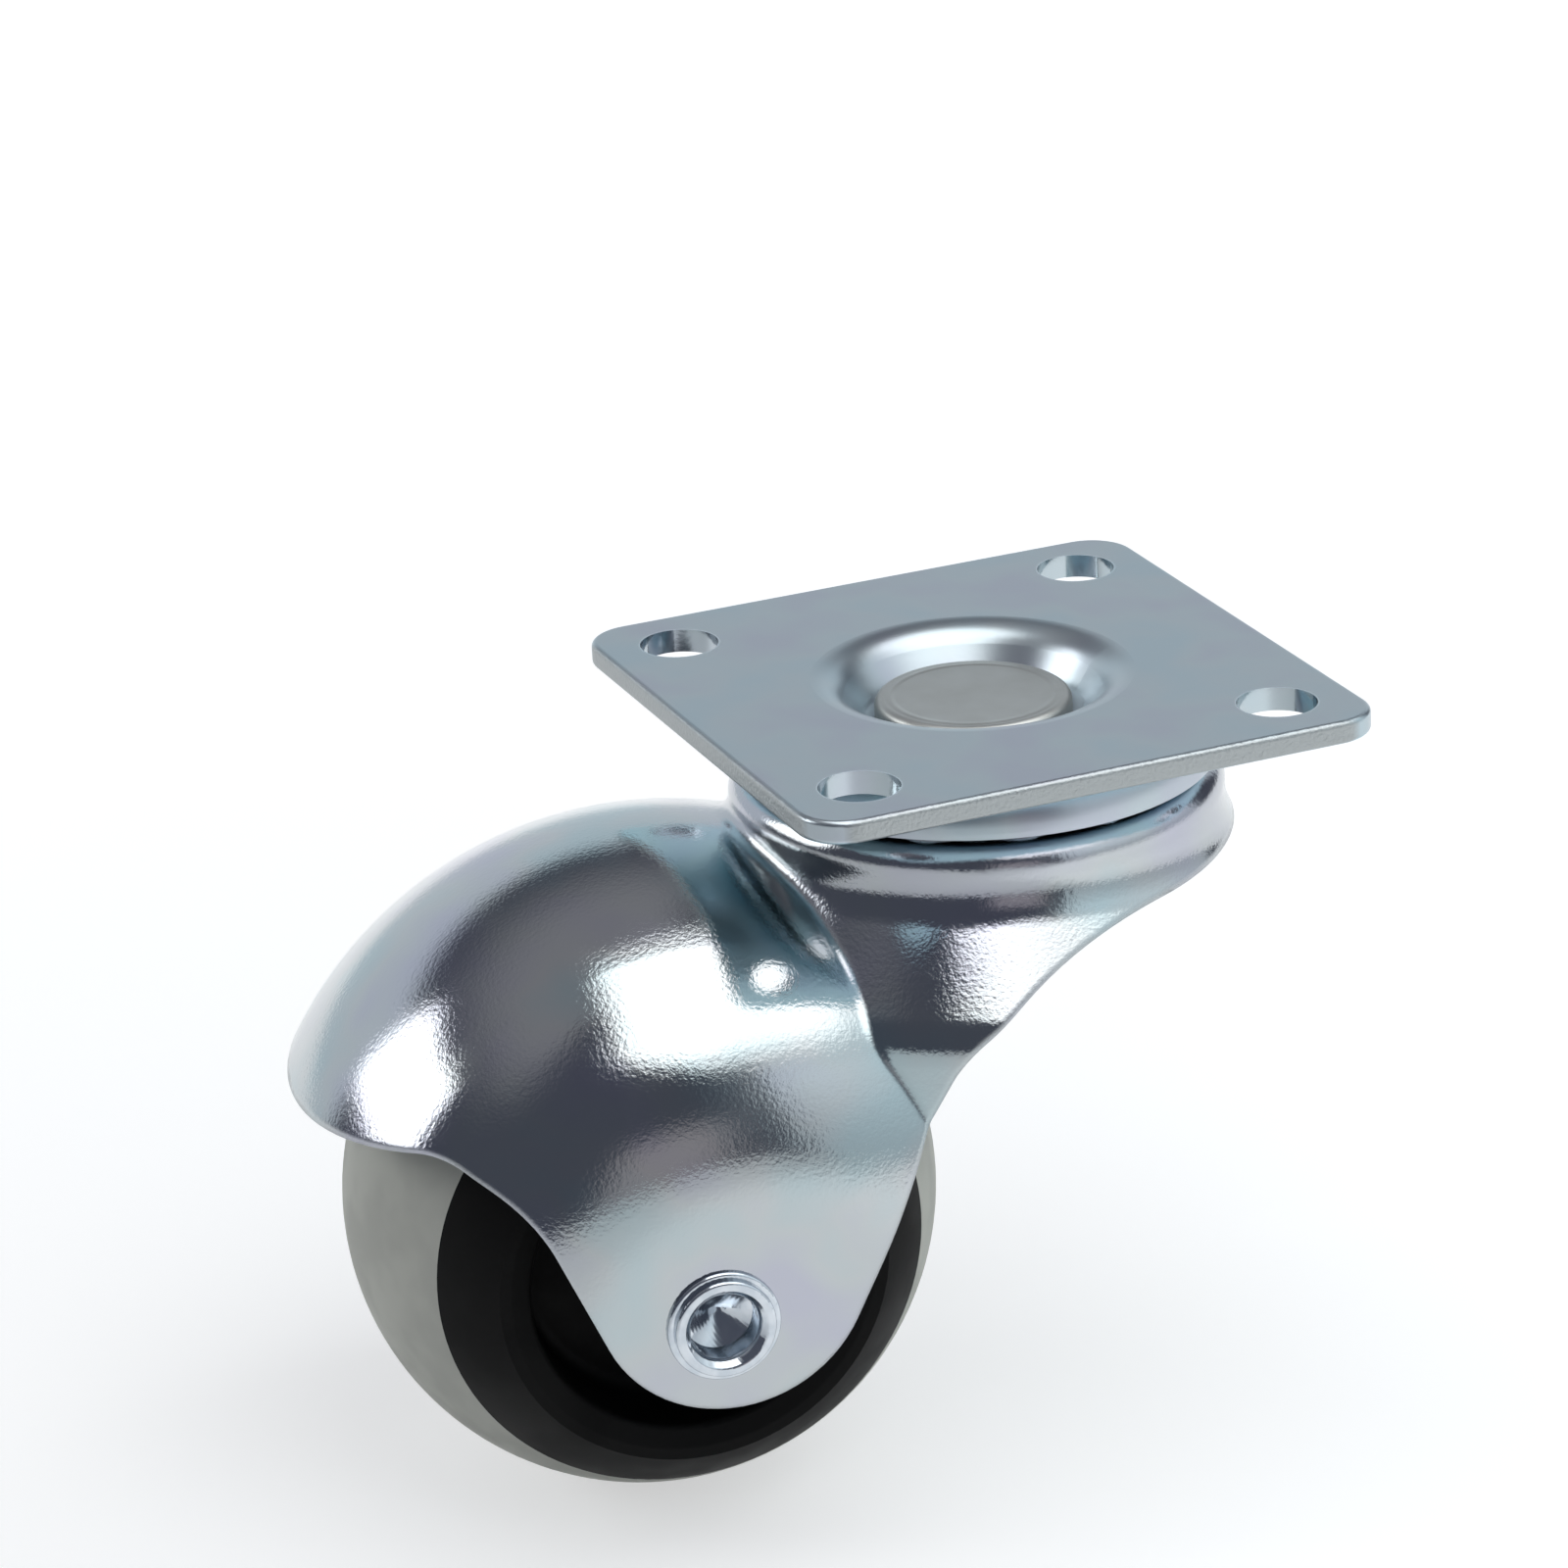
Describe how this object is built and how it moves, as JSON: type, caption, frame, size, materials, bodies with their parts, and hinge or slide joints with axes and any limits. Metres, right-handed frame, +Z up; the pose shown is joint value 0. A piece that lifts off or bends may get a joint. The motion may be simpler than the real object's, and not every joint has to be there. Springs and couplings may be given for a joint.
{
  "type": "ball castor",
  "caption": "Hooded ball castor: a soft-treaded ball wheel on a rivet axle under a domed steel fork that swivels on ball races below a square screw plate.",
  "frame": {"origin": "on the swivel axis in the plate's top (mounting) face, at the centre of the screw holes", "axes": "+Z up along the swivel axis, out of the mounting face; X and Y along the plate's sides; the wheel trails towards -X, 8 degrees round from it"},
  "size_m": [0.0635, 0.044, 0.0502],
  "materials": {
    "plated_steel": "satin zinc plate on stamped steel",
    "bright_zinc": "bright zinc plate on pressed steel",
    "rivet_steel": "matt plated rivet steel",
    "axle_steel": "bright plated rivet",
    "bearing_steel": "polished bearing balls",
    "core_plastic": "matt black moulding",
    "tread_rubber": "matt grey soft tread"
  },
  "bodies": {
    "plate": {"top_plate": "plated_steel", "upper_race": "plated_steel", "kingpin": "rivet_steel", "lower_race": "plated_steel"},
    "fork": {"horn": "bright_zinc", "axle": "axle_steel", "axle_sleeve": "rivet_steel"},
    "wheel": {"wheel_core": "core_plastic", "tread": "tread_rubber"},
    "upper_balls": {"upper_ball_01": "bearing_steel", "upper_ball_02": "bearing_steel", "upper_ball_03": "bearing_steel", "upper_ball_04": "bearing_steel", "upper_ball_05": "bearing_steel", "upper_ball_06": "bearing_steel", "upper_ball_07": "bearing_steel", "upper_ball_08": "bearing_steel", "upper_ball_09": "bearing_steel", "upper_ball_10": "bearing_steel", "upper_ball_11": "bearing_steel", "upper_ball_12": "bearing_steel", "upper_ball_13": "bearing_steel", "upper_ball_14": "bearing_steel"},
    "lower_balls": {"lower_ball_01": "bearing_steel", "lower_ball_02": "bearing_steel", "lower_ball_03": "bearing_steel", "lower_ball_04": "bearing_steel", "lower_ball_05": "bearing_steel", "lower_ball_06": "bearing_steel", "lower_ball_07": "bearing_steel", "lower_ball_08": "bearing_steel", "lower_ball_09": "bearing_steel", "lower_ball_10": "bearing_steel", "lower_ball_11": "bearing_steel", "lower_ball_12": "bearing_steel"}
  },
  "joints": [
    {"name": "swivel", "type": "hinge", "parent": "plate", "child": "fork", "pos_m": [0, 0, -0.00558], "axis": [0, 0, 1], "continuous": true},
    {"name": "wheel_spin", "type": "hinge", "parent": "fork", "child": "wheel", "pos_m": [-0.02288, 0.00321, -0.03143], "axis": [0.1392, 0.9903, 0], "continuous": true},
    {"name": "upper_balls_roll", "type": "hinge", "parent": "plate", "child": "upper_balls", "pos_m": [0, 0, -0.00473], "axis": [0, 0, 1], "continuous": true},
    {"name": "lower_balls_roll", "type": "hinge", "parent": "plate", "child": "lower_balls", "pos_m": [0, 0, -0.00816], "axis": [0, 0, 1], "continuous": true}
  ],
  "couplings": [
    {"joint": "upper_balls_roll", "follows": "swivel", "ratio": 0.5},
    {"joint": "lower_balls_roll", "follows": "swivel", "ratio": 0.5}
  ]
}
